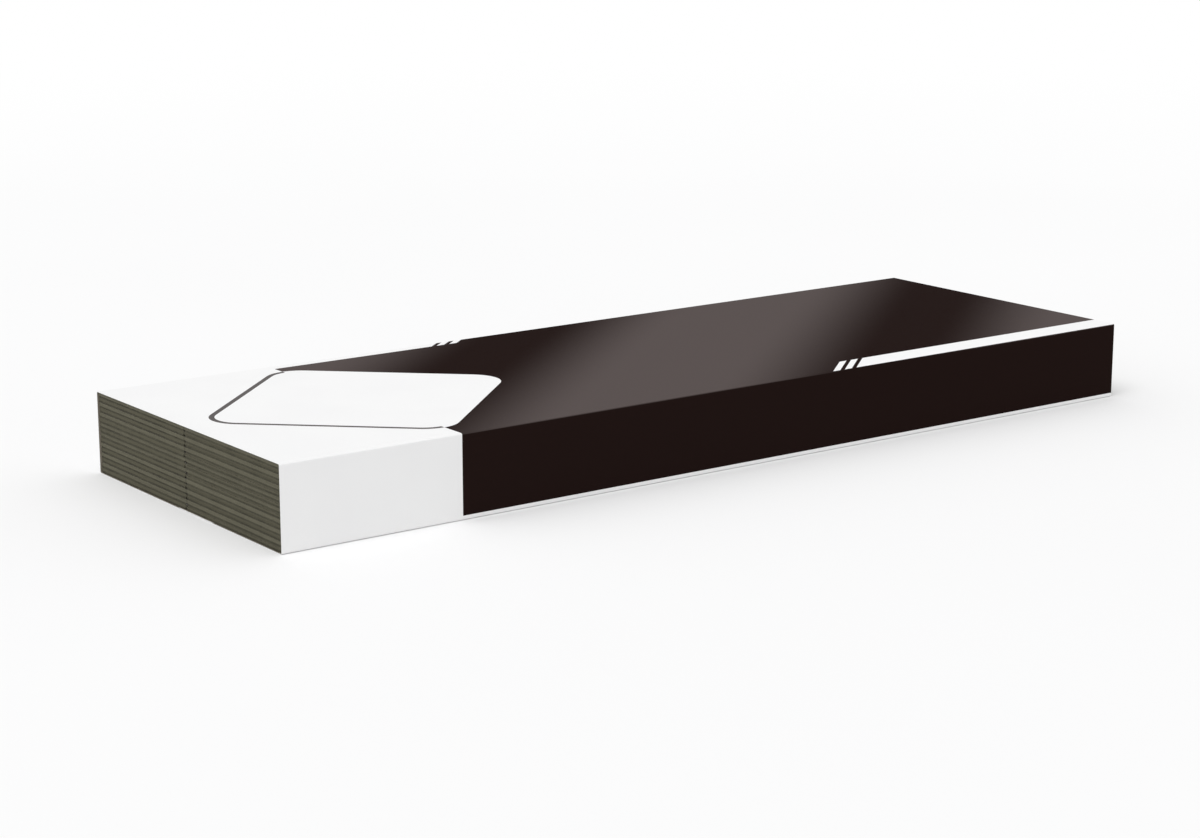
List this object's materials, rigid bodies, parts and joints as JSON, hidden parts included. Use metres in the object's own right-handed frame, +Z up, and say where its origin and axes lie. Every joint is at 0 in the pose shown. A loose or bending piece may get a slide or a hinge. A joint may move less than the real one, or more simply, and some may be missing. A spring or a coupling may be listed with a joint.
{
  "type": "asphalt shingle bundle",
  "caption": "Bundle of laminated dragon-tooth asphalt roof shingles, stacked flat in turn end for end, in a printed paper sleeve open at both ends.",
  "frame": {"origin": "on the floor under the middle of the bundle, at the centre of the underside of the bounding box", "axes": "+X along the bundle's length, with the white end zone of the wrapper at the -X end; +Y across its width, away from the seen long side; +Z up"},
  "size_m": [1.0024, 0.3404, 0.0783],
  "materials": {
    "wrapper": "satin coated, printed",
    "lower_shingle": "rough mineral granules",
    "upper_shingle": "rough mineral granules"
  },
  "bodies": {
    "root": {"wrapper": "wrapper", "shingle_01": "lower_shingle", "shingle_02": "upper_shingle", "shingle_03": "lower_shingle", "shingle_04": "upper_shingle", "shingle_05": "lower_shingle", "shingle_06": "upper_shingle", "shingle_07": "lower_shingle", "shingle_08": "upper_shingle", "shingle_09": "lower_shingle", "shingle_10": "upper_shingle", "shingle_11": "lower_shingle", "shingle_12": "upper_shingle", "shingle_13": "lower_shingle", "shingle_14": "upper_shingle", "shingle_15": "lower_shingle", "shingle_16": "upper_shingle"}
  },
  "joints": []
}
